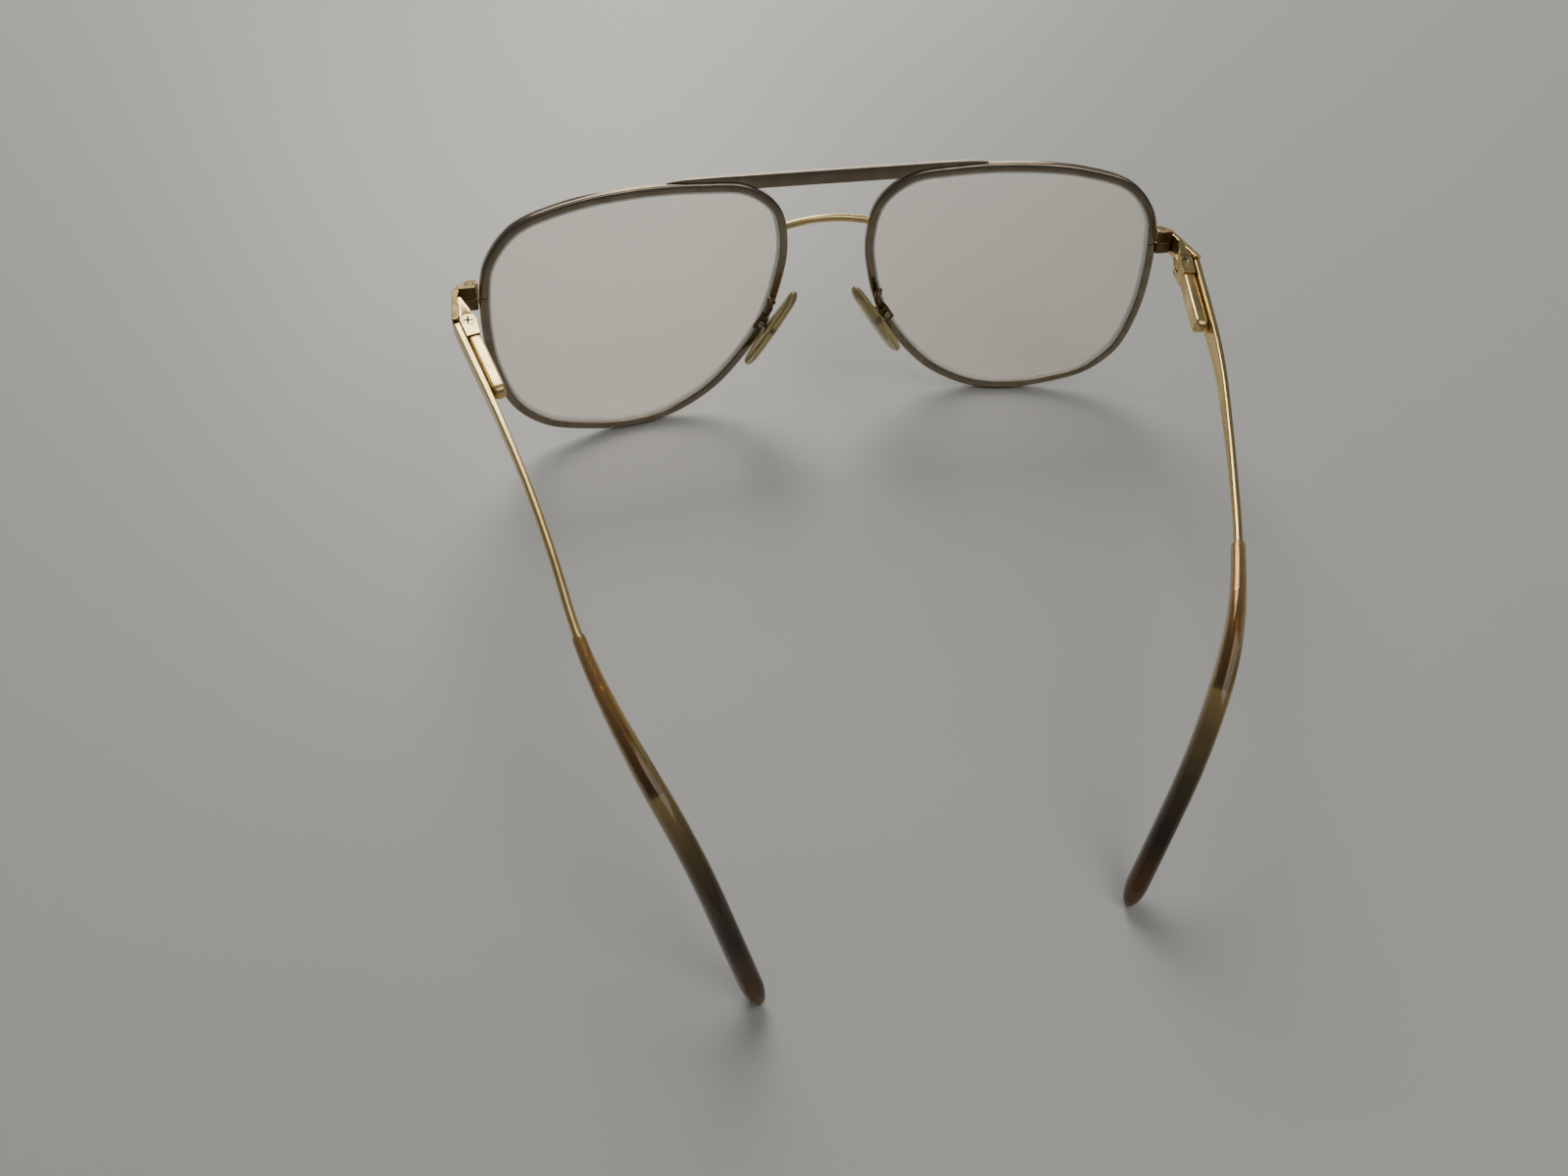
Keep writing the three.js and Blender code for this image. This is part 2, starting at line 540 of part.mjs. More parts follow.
// A ring of points across the arm at a distance along it; square is 0 for round and 1 for nearly square.
function armRing(walk, s, width, height, square, sides) {
  const i = Math.min(Math.floor(s / STEP), walk.length - 2);
  const on = walk[i].clone().lerp(walk[i + 1], s / STEP - i);
  const along = walk[Math.min(i + 2, walk.length - 1)].clone().sub(walk[Math.max(i - 2, 0)]).normalize();
  const out = along.clone().cross(at(0, 0, 1)).normalize();
  const up = out.clone().cross(along);
  const round = (value) => Math.sign(value) * Math.abs(value) ** (1 - 0.75 * square);
  return Array.from({ length: sides }, (_, j) => {
    const turn = (2 * Math.PI * (j + 0.5)) / sides;
    return on.clone()
      .addScaledVector(out, (round(Math.cos(turn)) * width) / 2)
      .addScaledVector(up, (round(Math.sin(turn)) * height) / 2);
  });
}
const tipStart = ARM_LENGTH - TIP_LENGTH;
// The metal arm: a flat strip at the hinge that narrows to a round wire inside the tip.
function arm(walk) {
  const rings = [];
  const STEPS = 34;
  const from = 2 * PLAY;
  const to = tipStart + TIP_WIRE;
  for (let i = 0; i <= STEPS; i += 1) {
    const s = from + ((to - from) * i) / STEPS;
    const narrowed = THREE.MathUtils.smoothstep(s, 6, tipStart - 4);
    const width = THREE.MathUtils.lerp(BAND_THICKNESS, 2 * WIRE_RADIUS, narrowed);
    const height = THREE.MathUtils.lerp(BAND_HEIGHT, 2 * WIRE_RADIUS, narrowed);
    rings.push(armRing(walk, s, width, height, 1 - narrowed, 12));
  }
  return skin(rings);
}
// The acetate tip: a sleeve that swells from its mouth, with a blind bore for the wire.
function tip(walk) {
  const SIDES = 12;
  const bore = 2 * (WIRE_RADIUS + GAP);
  const inside = [];
  const outside = [];
  const BORE_STEPS = 9;
  for (let i = 0; i <= BORE_STEPS; i += 1) {
    const s = tipStart + (TIP_WIRE + 0.6) * (1 - i / BORE_STEPS);
    inside.push(armRing(walk, s, bore, bore, 0, SIDES));
  }
  const STEPS = 26;
  for (let i = 0; i <= STEPS; i += 1) {
    const share = i / STEPS;
    const s = tipStart + TIP_LENGTH * share;
    const swell = 0.62 + 0.38 * THREE.MathUtils.smoothstep(share, 0, 0.45);
    const end = share > 0.93 ? Math.sqrt(Math.max(0.06, 1 - ((share - 0.93) / 0.072) ** 2)) : 1;
    outside.push(armRing(walk, s, TIP_WIDTH * swell * end, TIP_HEIGHT * swell * end, 0.25, SIDES));
  }
  return skin([...inside, ...outside]);
}

// ---------- both sides ----------
// The right half is the left half mirrored. The bends of the pads and arms, and how far each arm stands
// open, are each side's own.
for (const side of ["left", "right"]) {
  const mirror = side === "left" ? 1 : -1;
  const halfGroup = new THREE.Group();
  halfGroup.scale.x = mirror;
  group.add(halfGroup);

  const halfFront = new THREE.Group();
  halfFront.rotation.x = radians(LEAN);
  halfGroup.add(halfFront);

  const eye = eyeFrame();
  halfFront.add(eye);
  piece(eye, `rim_${side}`, rim(), gold);
  piece(eye, `lens_${side}`, lens(), lensMaterial);

  const pad = new THREE.Group();
  pad.applyMatrix4(padFrame(side));
  halfFront.add(pad);
  piece(pad, `nose_pad_${side}`, nosePad(), padMaterial);
  piece(pad, `pad_box_${side}`, padBox(), darkGold);
  piece(pad, `pad_screw_${side}`, padScrew(), steel);
  piece(halfFront, `pad_arm_${side}`, padArm(side), gold);

  piece(halfFront, `end_piece_${side}`, endPiece(), gold);
  piece(halfFront, `closing_block_upper_${side}`, closingBlock(true), gold);
  piece(halfFront, `closing_block_lower_${side}`, closingBlock(false), gold);
  piece(halfFront, `rim_screw_${side}`, lockScrew(), steel);

  const hinge = new THREE.Group();
  hinge.position.copy(pinPlace).applyMatrix4(front.matrix);
  hinge.rotation.x = radians(ARM_RISE);
  halfGroup.add(hinge);
  piece(hinge, `hinge_leaf_${side}`, hingeLeaf(), gold);
  piece(hinge, `hinge_screw_${side}`, hingeScrew(), steel);

  const armGroup = new THREE.Group();
  armGroup.rotation.z = radians(ARM_YAW + REST_FOLD[side]);
  hinge.add(armGroup);
  piece(armGroup, `hinge_head_${side}`, hingeHead(), gold);
  piece(armGroup, `spring_box_${side}`, springBox(), gold);
  piece(armGroup, `spring_washer_${side}`, springWasher(), steel);
  piece(armGroup, `hinge_spring_${side}`, spring(), steel);
  const walk = walkArm(ARM_HEADING[side]);
  piece(armGroup, `arm_${side}`, arm(walk), gold);
  piece(armGroup, `arm_tip_${side}`, tip(walk), tipMaterial);
}

// The origin is on the table, in the middle of the space that the spectacles take up.
group.updateMatrixWorld(true);
const space = new THREE.Box3().setFromObject(group, true);
group.position.y = -(space.min.y + space.max.y) / 2;
group.position.z = -space.min.z;

export default group;
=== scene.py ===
"""Aviator spectacles standing open on a table: gold-plated metal frame, sprung arms, acetate tips."""

import json
import math

import bmesh
import bpy
import numpy as np
from mathutils import Matrix, Vector

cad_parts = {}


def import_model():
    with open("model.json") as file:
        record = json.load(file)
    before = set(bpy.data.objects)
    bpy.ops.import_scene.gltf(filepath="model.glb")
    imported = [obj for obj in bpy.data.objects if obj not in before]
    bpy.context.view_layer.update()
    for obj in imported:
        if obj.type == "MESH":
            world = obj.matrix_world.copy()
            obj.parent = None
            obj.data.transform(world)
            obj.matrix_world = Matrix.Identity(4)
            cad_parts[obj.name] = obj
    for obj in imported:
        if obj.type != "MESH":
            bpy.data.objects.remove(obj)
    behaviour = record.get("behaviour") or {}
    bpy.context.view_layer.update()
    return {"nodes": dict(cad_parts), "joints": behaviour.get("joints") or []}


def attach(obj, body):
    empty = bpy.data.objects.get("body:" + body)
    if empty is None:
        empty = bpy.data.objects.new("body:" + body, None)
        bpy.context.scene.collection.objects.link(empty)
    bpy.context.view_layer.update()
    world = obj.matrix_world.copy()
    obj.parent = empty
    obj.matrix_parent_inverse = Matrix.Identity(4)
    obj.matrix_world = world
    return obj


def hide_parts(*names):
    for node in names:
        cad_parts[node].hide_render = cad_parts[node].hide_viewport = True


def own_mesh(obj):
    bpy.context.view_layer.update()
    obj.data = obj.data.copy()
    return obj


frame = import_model()

# ---------------------------------------------------------------- rims
# Each rim is one length of nickel-silver wire, rolled with a V groove inside that holds the lens. It is
# bent round a former until its two ends meet at the temple side, then gold plated with the whole front.
MM = 0.001
SIDES = (("left", 1), ("right", -1))
GAP = 0.12  # between two pieces that are soldered or pressed together
EYE_SPACING, EYE_WIDTH, EYE_HEIGHT = 74.2, 57.6, 47.2
WRAP, LEAN, LENS_RADIUS = 6.6, 15.0, 140.0
RIM_DEPTH, RIM_OUT, RIM_IN, GROOVE, RIM_CUT = 1.9, 0.8, 0.7, 0.5, 0.2
RIM_CORNER, RIM_SOFTNESS, GROOVE_LIP, RIM_STEPS = 0.3, 0.12, 0.05, 240
PIN = Vector((67.743, 12.858, 10.687))  # the hinge pin from the middle of the front
OUTLINE = [  # shares of half the width and height, from the closing block up over the brow
    (0.983, 0.34), (0.93, 0.6), (0.755, 0.835), (0.44, 0.95), (0, 0.998), (-0.44, 0.99), (-0.74, 0.945),
    (-0.93, 0.76), (-0.985, 0.45), (-0.952, 0.14), (-0.855, -0.22), (-0.7, -0.5), (-0.47, -0.775),
    (-0.17, -0.955), (0.12, -1), (0.42, -0.952), (0.7, -0.835), (0.885, -0.62), (0.975, -0.3), (1, 0.0),
]
OUTLINE_STEPS = 4000  # the short, even steps in which the rim's middle line is kept


def through(points, count, closed=False, steps=40):
    """Even points along a smooth line through the given ones."""
    p = [np.array(q, float) for q in points]
    n = len(p)
    if not closed:
        p = [2 * p[0] - p[1]] + p + [2 * p[-1] - p[-2]]
    dense = []
    for i in range(n if closed else n - 1):
        a, b, c, d = [p[(i + k) % len(p)] for k in ((-1, 0, 1, 2) if closed else (0, 1, 2, 3))]
        ta, tb, tc = [max(np.linalg.norm(v - u), 1e-6) ** 0.5 for u, v in ((a, b), (b, c), (c, d))]
        out = tb * ((b - a) / ta - (c - a) / (ta + tb) + (c - b) / tb)
        into = tb * ((c - b) / tb - (d - b) / (tb + tc) + (d - c) / tc)
        second, third = 3 * (c - b) - 2 * out - into, 2 * (b - c) + out + into
        dense += [b + out * t + second * t**2 + third * t**3 for t in np.arange(steps) / steps]
    dense.append(p[0] if closed else p[-2])
    dense = np.array(dense)
    along = np.concatenate([[0], np.cumsum(np.linalg.norm(np.diff(dense, axis=0), axis=1))])
    even = np.linspace(0, along[-1], count)
    return np.column_stack([np.interp(even, along, dense[:, k]) for k in range(dense.shape[1])])


eye_line = through([(u * EYE_WIDTH / 2, v * EYE_HEIGHT / 2) for u, v in OUTLINE], OUTLINE_STEPS + 1,
                   closed=True)
eye_length = float(np.linalg.norm(np.diff(eye_line, axis=0), axis=1).sum())


def lens_back(u, v):
    """How far the curved lens lies behind its middle."""
    return (u * u + v * v) / (2 * LENS_RADIUS)


def beside_outline(share, out, back):
    """A point beside the rim's middle line, in the eye's own frame."""
    i = share % 1 * OUTLINE_STEPS
    u, v = [np.interp(i, np.arange(OUTLINE_STEPS + 1), eye_line[:, k]) for k in (0, 1)]
    ahead, behind = [eye_line[int(k) % OUTLINE_STEPS] for k in (i + 2, i - 1)]
    along = (ahead - behind) / np.linalg.norm(ahead - behind)
    return Vector((u + along[1] * out, lens_back(u, v) + back, v - along[0] * out))


def rounded(outline, radius, steps=4):
    """A closed flat outline with its corners rounded."""
    made = []
    n = len(outline)
    for i in range(n):
        before, corner, after = [np.array(outline[k % n], float) for k in (i - 1, i, i + 1)]
        a, b = before - corner, after - corner
        reach = min(radius, 0.45 * np.linalg.norm(a), 0.45 * np.linalg.norm(b))
        start, end = corner + a / np.linalg.norm(a) * reach, corner + b / np.linalg.norm(b) * reach
        for t in np.linspace(0, 1, steps + 1):
            made.append(tuple((1 - t) ** 2 * start + 2 * t * (1 - t) * corner + t**2 * end))
    return made


def linear(code):
    """An sRGB hex colour as linear red, green, blue and alpha."""
    channels = [int(code[i : i + 2], 16) / 255 for i in (1, 3, 5)]
    return [c / 12.92 if c <= 0.04045 else ((c + 0.055) / 1.055) ** 2.4 for c in channels] + [1.0]


def per_mm(size):
    """The texture scale that gives features of this size in millimetres."""
    return 1000.0 / size


def add(tree, kind, inputs=None, **settings):
    """A node with its settings, and its inputs set to a value or linked to a socket."""
    made = tree.nodes.new(kind)
    for key, value in settings.items():
        setattr(made, key, value)
    for key, value in (inputs or {}).items():
        if isinstance(value, bpy.types.NodeSocket):
            tree.links.new(value, made.inputs[key])
        else:
            made.inputs[key].default_value = value
    return made


def new_material(name, show):
    """An empty node material, and the colour that it shows in a plain view."""
    material = bpy.data.materials.new(name)
    material.use_nodes = True
    material.node_tree.nodes.clear()
    material.diffuse_color = linear(show)
    return material, material.node_tree


RELIEF_DEPTH = 0.00002  # metres


def plating(name, show, patch, base_tone, patch_tone, smoothest, roughest):
    """Gold plating whose colour and gloss change between two tones in patches, over polishing lines that are
    0.2 mm apart.
    """
    material, tree = new_material(name, show)
    place = add(tree, "ShaderNodeTexCoord").outputs["Object"]
    patch_noise = add(tree, "ShaderNodeTexNoise", {"Vector": place, "Scale": per_mm(patch), "Detail": 3.0})
    lines = add(tree, "ShaderNodeTexNoise", {"Vector": place, "Scale": per_mm(0.2), "Detail": 2.0})
    tone = add(tree, "ShaderNodeMix", {
        "Factor": patch_noise.outputs["Fac"], "A": linear(base_tone), "B": linear(patch_tone)}, data_type="RGBA")
    gloss = add(tree, "ShaderNodeMapRange", {"Value": patch_noise.outputs["Fac"], "From Min": 0.3, "From Max": 0.7,
                                             "To Min": smoothest, "To Max": roughest})
    relief = add(tree, "ShaderNodeBump", {
        "Height": lines.outputs["Fac"], "Strength": 0.06, "Distance": RELIEF_DEPTH})
    metal = add(tree, "ShaderNodeBsdfPrincipled", {
        "Base Color": tone.outputs[2], "Roughness": gloss.outputs["Result"],
        "Normal": relief.outputs["Normal"], "Metallic": 1.0})
    add(tree, "ShaderNodeOutputMaterial", {"Surface": metal.outputs["BSDF"]})
    return material


# Gold plating over nickel silver, polished: mirror-like and pale yellow, with a slight haze where skin
# and cloth have worn it, in patches of about 5 mm.
gold = plating("polished_gold_plating", "#D9C08A", 5.0, "#E8D093", "#CDB278", 0.2, 0.34)
# The same plating with a dark brown-grey base colour, varied in patches of about 3 mm. This is painted shade:
# it stands in for the dark reflections on the backlit rims and brow bar, so the wire looks dark and only its
# edges catch a bright line.
shade_painted_gold = plating("gold_plating_with_painted_shade", "#6E6252", 3.0, "#A39783", "#7D7161", 0.18, 0.3)

# Where each frame of the object stands, in millimetres. The left hinge pin gives the height and depth.
pin_place = Vector(next(j for j in frame["joints"] if j["name"] == "left_arm_flex")["pos_m"]) / MM
whole = Matrix.Translation(pin_place - PIN)
front = whole @ Matrix.Rotation(math.radians(LEAN), 4, "X")
on_eye = Matrix.Translation((EYE_SPACING / 2, 0, 0)) @ Matrix.Rotation(math.radians(WRAP), 4, "Z")


def world(point, place, mirror):
    """A point in millimetres in one of those frames, as metres in the object's own frame."""
    at = place @ Vector(point)
    return (at.x * mirror * MM, at.y * MM, at.z * MM)


def shell(name, bm, material, body, stands_for=(), sharp=32):
    """A finished piece from a closed shape in metres, on its body."""
    bmesh.ops.remove_doubles(bm, verts=bm.verts, dist=1e-7)
    bmesh.ops.recalc_face_normals(bm, faces=bm.faces)
    mesh = bpy.data.meshes.new(name)
    bm.to_mesh(mesh)
    bm.free()
    mesh.shade_smooth()
    mesh.set_sharp_from_angle(angle=math.radians(sharp))
    for each in material if isinstance(material, list) else [material]:
        mesh.materials.append(each)
    piece = bpy.data.objects.new(name, mesh)
    bpy.context.scene.collection.objects.link(piece)
    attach(piece, body)
    if stands_for:
        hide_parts(*stands_for)
    return piece


def loft(rings, place, mirror, finish=None):
    """A closed skin over rings that all have the same number of points. finish gives each row a material."""
    bm = bmesh.new()
    rows = [[bm.verts.new(world(p, place, mirror)) for p in ring] for ring in rings]
    for i, (low, high) in enumerate(zip(rows, rows[1:])):
        for j in range(len(low)):
            k = (j + 1) % len(low)
            face = bm.faces.new((low[j], low[k], high[k], high[j]))
            face.material_index = finish[i] if finish else 0
    bm.faces.new(rows[0])
    bm.faces.new(rows[-1][::-1])
    return bm


half_depth = RIM_DEPTH / 2
rim_section = rounded([
    (-RIM_IN, -half_depth), (RIM_OUT - RIM_CORNER, -half_depth), (RIM_OUT, RIM_CORNER - half_depth),
    (RIM_OUT, half_depth - RIM_CORNER), (RIM_OUT - RIM_CORNER, half_depth), (-RIM_IN, half_depth),
    (-RIM_IN, GROOVE - GROOVE_LIP), (GROOVE - RIM_IN, 0), (-RIM_IN, GROOVE_LIP - GROOVE),
], RIM_SOFTNESS, 2)
cut_share = RIM_CUT / 2 / eye_length
rim_shares = cut_share + (1 - 2 * cut_share) * np.arange(RIM_STEPS + 1) / RIM_STEPS
for side, mirror in SIDES:
    rings = [[beside_outline(s, out, back) for out, back in rim_section] for s in rim_shares]
    # Painted shade: the rim wire takes the darkened gold.
    shell(f"rim_wire_{side}", loft(rings, front @ on_eye, mirror), shade_painted_gold, "front",
          [f"rim_{side}"])

# ---------------------------------------------------------------- lenses
# Each lens is ground resin with a light warm tint, edged with a bevel that snaps into the rim's groove.
# The faces are polished and coated. The edge is left ground, so it is a fine grey-white line.
LENS_THICKNESS, LENS_SAFETY_BEVEL, LENS_POINT_PLAY = 1.8, 0.25, 0.08
lens_resin, tree = new_material("tinted_lens_resin", "#EFE7DA")
resin = add(tree, "ShaderNodeBsdfPrincipled", {
    "Base Color": linear("#F5EDDD"), "Roughness": 0.02, "IOR": 1.5, "Transmission Weight": 1.0, "Alpha": 0.4})
add(tree, "ShaderNodeOutputMaterial", {"Surface": resin.outputs["BSDF"]})
# The ground edge scatters light: a fine matt surface with no colour of its own.
ground_edge, tree = new_material("ground_lens_edge", "#D9D8D4")
place = add(tree, "ShaderNodeTexCoord").outputs["Object"]
grit = add(tree, "ShaderNodeTexNoise", {"Vector": place, "Scale": per_mm(0.1), "Detail": 2.0})
relief = add(tree, "ShaderNodeBump", {
    "Height": grit.outputs["Fac"], "Strength": 0.2, "Distance": RELIEF_DEPTH})
frosted = add(tree, "ShaderNodeBsdfPrincipled", {
    "Base Color": linear("#DDDCD8"), "Roughness": 0.55, "IOR": 1.5, "Transmission Weight": 0.4,
    "Normal": relief.outputs["Normal"]})
add(tree, "ShaderNodeOutputMaterial", {"Surface": frosted.outputs["BSDF"]})


def lens_ring(size, out, back):
    """One ring of the lens. Its edge follows the rim, and its middle follows the lens curve."""
    ring = []
    for share in rim_shares[:-1]:
        p = beside_outline(share, out, 0)
        shift = size * (p.y - lens_back(p.x, p.z))
        ring.append((p.x * size, lens_back(p.x * size, p.z * size) + shift + back, p.z * size))
    return ring


edge, face = -RIM_IN - GAP, LENS_THICKNESS / 2
inward = [0.04, 0.12, 0.25, 0.4, 0.55, 0.7, 0.82, 0.92, 0.97]
rings = [lens_ring(size, edge, -face) for size in inward]
rings += [lens_ring(1, edge - LENS_SAFETY_BEVEL, -face), lens_ring(1, edge, LENS_SAFETY_BEVEL - face),
          lens_ring(1, edge, -GROOVE), lens_ring(1, edge + GROOVE - LENS_POINT_PLAY, 0),
          lens_ring(1, edge, GROOVE),
          lens_ring(1, edge, face - LENS_SAFETY_BEVEL), lens_ring(1, edge - LENS_SAFETY_BEVEL, face)]
rings += [lens_ring(size, edge, face) for size in reversed(inward)]
faces_of = [0] * len(inward) + [1] * 6 + [0] * len(inward)
for side, mirror in SIDES:
    shell(f"lens_blank_{side}", loft(rings, front @ on_eye, mirror, faces_of), [lens_resin, ground_edge],
          "front", [f"lens_{side}"], sharp=20)

# ---------------------------------------------------------------- brow bar
# A flat strip soldered along the tops of both rims. Its top is straight, its underside is filed to the
# rims, and it runs out to nothing where the rims reach its height.
BAR_TOP, BAR_HEIGHT, BAR_THICKNESS, BAR_REACH, BAR_ENDING = 25.0, 2.6, 1.0, 30.5, 4.5
BAR_LEAST, BAR_TIP, BAR_THINNING, BAR_SOLDER = 0.25, 0.15, 0.6, 0.3 * GAP
BROW_FROM, BROW_SPAN, BROW_STEPS = 0.03, 0.42, 300  # the part of the rim that lies under the bar
brow = np.array([on_eye @ beside_outline(BROW_FROM + BROW_SPAN * i / BROW_STEPS, RIM_OUT + BAR_SOLDER, 0)
                 for i in range(BROW_STEPS + 1)])
brow = brow[np.argsort(brow[:, 0])]
rings = []
for x in BAR_REACH * np.sin(np.linspace(-1, 1, 161) * math.pi / 2):
    low = BAR_TOP - BAR_HEIGHT
    if abs(x) >= brow[0, 0]:
        low = max(low, float(np.interp(abs(x), brow[:, 0], brow[:, 2])))
    low = min(low, BAR_TOP - BAR_LEAST)
    back = float(np.interp(max(abs(x), EYE_SPACING / 4), brow[:, 0], brow[:, 1]))
    ending = max(0.0, (abs(x) - BAR_REACH + BAR_ENDING) / BAR_ENDING)
    half = BAR_THICKNESS / 2 * (1 - BAR_THINNING * ending)
    high = BAR_TOP + (low + BAR_TIP - BAR_TOP) * ending**2
    section = rounded([(-half, low), (half, low), (half, high), (-half, high)], 0.2, 4)
    rings.append([(x, back + y, z) for y, z in section])
# Painted shade: the bar takes the darkened gold.
shell("brow_bar_strip", loft(rings, front, 1), shade_painted_gold, "front", ["brow_bar"])

# ---------------------------------------------------------------- bridge wire
# Round drawn wire, arched a little and soldered between the two rims under the brow bar.
BRIDGE_RADIUS, BRIDGE_HEIGHT, BRIDGE_ARCH, BRIDGE_BITE = 0.7, 14.3, 1.0, 0.15
NOSE_FROM, NOSE_SPAN, NOSE_STEPS = 0.3, 0.3, 199  # the part of the rim that faces the nose


def wire_tree():
    """A node tree that draws a round wire with closed ends along a path of edges."""
    made = bpy.data.node_groups.new("drawn_wire", "GeometryNodeTree")
    made.interface.new_socket("Geometry", in_out="INPUT", socket_type="NodeSocketGeometry")
    made.interface.new_socket("Radius", in_out="INPUT", socket_type="NodeSocketFloat")
    made.interface.new_socket("Sides", in_out="INPUT", socket_type="NodeSocketInt")
    made.interface.new_socket("Finish", in_out="INPUT", socket_type="NodeSocketMaterial")
    made.interface.new_socket("Geometry", in_out="OUTPUT", socket_type="NodeSocketGeometry")
    given = add(made, "NodeGroupInput")
    line = add(made, "GeometryNodeMeshToCurve", {"Mesh": given.outputs["Geometry"]})
    circle = add(made, "GeometryNodeCurvePrimitiveCircle",
                 {"Resolution": given.outputs["Sides"], "Radius": given.outputs["Radius"]})
    round_wire = add(made, "GeometryNodeCurveToMesh", {
        "Curve": line.outputs["Curve"], "Profile Curve": circle.outputs["Curve"], "Fill Caps": True})
    real = add(made, "GeometryNodeRealizeInstances", {"Geometry": round_wire.outputs["Mesh"]})
    done = add(made, "GeometryNodeSetMaterial",
               {"Geometry": real.outputs["Geometry"], "Material": given.outputs["Finish"]})
    add(made, "NodeGroupOutput", {"Geometry": done.outputs["Geometry"]})
    return made


drawn_wire = wire_tree()


def wire(name, path, radius, material, body, stands_for=(), sides=24):
    """A round wire along a path in metres, drawn by the node tree and kept as a plain mesh."""
    line = bpy.data.meshes.new(name + "_line")
    line.from_pydata([tuple(p) for p in path], [(i, i + 1) for i in range(len(path) - 1)], [])
    drawing = bpy.data.objects.new(name + "_line", line)
    bpy.context.scene.collection.objects.link(drawing)
    modifier = drawing.modifiers.new("wire", "NODES")
    modifier.node_group = drawn_wire
    sizes = {"Radius": radius * MM, "Sides": sides, "Finish": material}
    for item in drawn_wire.interface.items_tree:
        if item.in_out == "INPUT" and item.name in sizes:
            modifier[item.identifier] = sizes[item.name]
    depsgraph = bpy.context.evaluated_depsgraph_get()
    plain = bpy.data.meshes.new_from_object(drawing.evaluated_get(depsgraph), depsgraph=depsgraph)
    bpy.data.objects.remove(drawing)
    bm = bmesh.new()
    bm.from_mesh(plain)
    return shell(name, bm, material, body, stands_for, sharp=50)


side_of_rim = [on_eye @ beside_outline(NOSE_FROM + NOSE_SPAN * i / NOSE_STEPS, RIM_OUT + GAP, 0)
               for i in range(NOSE_STEPS + 1)]
joint_at = next(p for p in side_of_rim if p.z < BRIDGE_HEIGHT)
arch = []
for t in np.linspace(0, 1, 49):
    height = BRIDGE_HEIGHT + 2 * BRIDGE_ARCH * 2 * t * (1 - t)
    arch.append(world(((2 * t - 1) * (joint_at.x + BRIDGE_BITE), joint_at.y, height), front, 1))
wire("bridge_wire_drawn", arch, BRIDGE_RADIUS, gold, "front", ["bridge_wire"], 32)

# ---------------------------------------------------------------- nose pads
# Each pad is moulded clear acetate, yellowed with age, on a small metal insert. The insert's foot rocks
# on a screw in a box that a hook of wire holds behind the rim.
PAD_LENGTH, PAD_WIDTH, PAD_THICKNESS, PAD_FLARE = 17.4, 8.0, 2.1, 34
PAD_SPLAY = {"left": 20, "right": 10}  # each pad was bent to fit its wearer
PAD_OFFSET = {"left": (0.36, 3.95, 0), "right": (-1.54, 3.95, 0)}  # from the rim beside it
PAD_SHARE, PAD_ARM_SHARE = 0.51, 0.488  # how far round the rim the pad and its arm stand
PAD_BOX_FRONT, PAD_BOX_DEEP, PAD_BOX_LENGTH, PAD_WIRE_RADIUS = 1.45, 1.9, 3.0, 0.5
FOOT_LOW, FOOT_HIGH = (-0.2, -0.6, -0.5), (2.75, 0.6, 0.5)
PAD_PROFILE = [  # through the thickness, from the back to the face on the nose, and the share of full size
    (1, 0.06), (1.0, 0.5), (0.85, 0.86), (0.4, 1), (-0.25, 0.97), (-0.75, 0.75), (-1, 0.35), (-1, 0.06),
]
PAD_EGG, PAD_SQUARENESS, PAD_FILL = 0.24, 0.9, 2.2  # narrower at the top, and soon at full length
HOOK_RISE = (1.7, 1, GAP)  # how far above the pad box the wire's last three points lie


def on_pad(side):
    """The pad's own frame: Z up its length, Y to its rear edge, -X to the nose."""
    centre = on_eye @ beside_outline(PAD_SHARE, RIM_OUT, half_depth) + Vector(PAD_OFFSET[side])
    return (front @ Matrix.Translation(centre) @ Matrix.Rotation(math.radians(-PAD_FLARE), 4, "Y")
            @ Matrix.Rotation(math.radians(-PAD_SPLAY[side]), 4, "Z"))


# Aged acetate: soft yellow, glossy where it is handled, and clear enough to show the insert.
pad_acetate, tree = new_material("yellowed_clear_acetate", "#D2C383")
place = add(tree, "ShaderNodeTexCoord").outputs["Object"]
cloud = add(tree, "ShaderNodeTexNoise", {"Vector": place, "Scale": per_mm(4.0), "Detail": 3.0})
tone = add(tree, "ShaderNodeMix", {
    "Factor": cloud.outputs["Fac"], "A": linear("#DDD19C"), "B": linear("#BBAA70")}, data_type="RGBA")
yellowed = add(tree, "ShaderNodeBsdfPrincipled", {
    "Base Color": tone.outputs[2], "Roughness": 0.22, "IOR": 1.48, "Transmission Weight": 0.75,
    "Subsurface Weight": 0.2, "Subsurface Radius": (0.0012, 0.001, 0.0005), "Subsurface Scale": 1.0})
add(tree, "ShaderNodeOutputMaterial", {"Surface": yellowed.outputs["BSDF"]})
# Gold plating with painted shade: a brown base colour, darker in random patches, that stands in for the shade
# on the pad parts and the closing blocks, and less glossy.
shade_painted_dull_gold, tree = new_material("dull_gold_with_painted_shade", "#8F7B4C")
place = add(tree, "ShaderNodeTexCoord").outputs["Object"]
shade_mottle = add(tree, "ShaderNodeTexNoise", {"Vector": place, "Scale": per_mm(1.2), "Detail": 3.0})
tone = add(tree, "ShaderNodeMix", {
    "Factor": shade_mottle.outputs["Fac"], "A": linear("#8E7C58"), "B": linear("#4E432F")}, data_type="RGBA")
shaded_metal = add(tree, "ShaderNodeBsdfPrincipled", {
    "Base Color": tone.outputs[2], "Roughness": 0.33, "Metallic": 1.0})
add(tree, "ShaderNodeOutputMaterial", {"Surface": shaded_metal.outputs["BSDF"]})
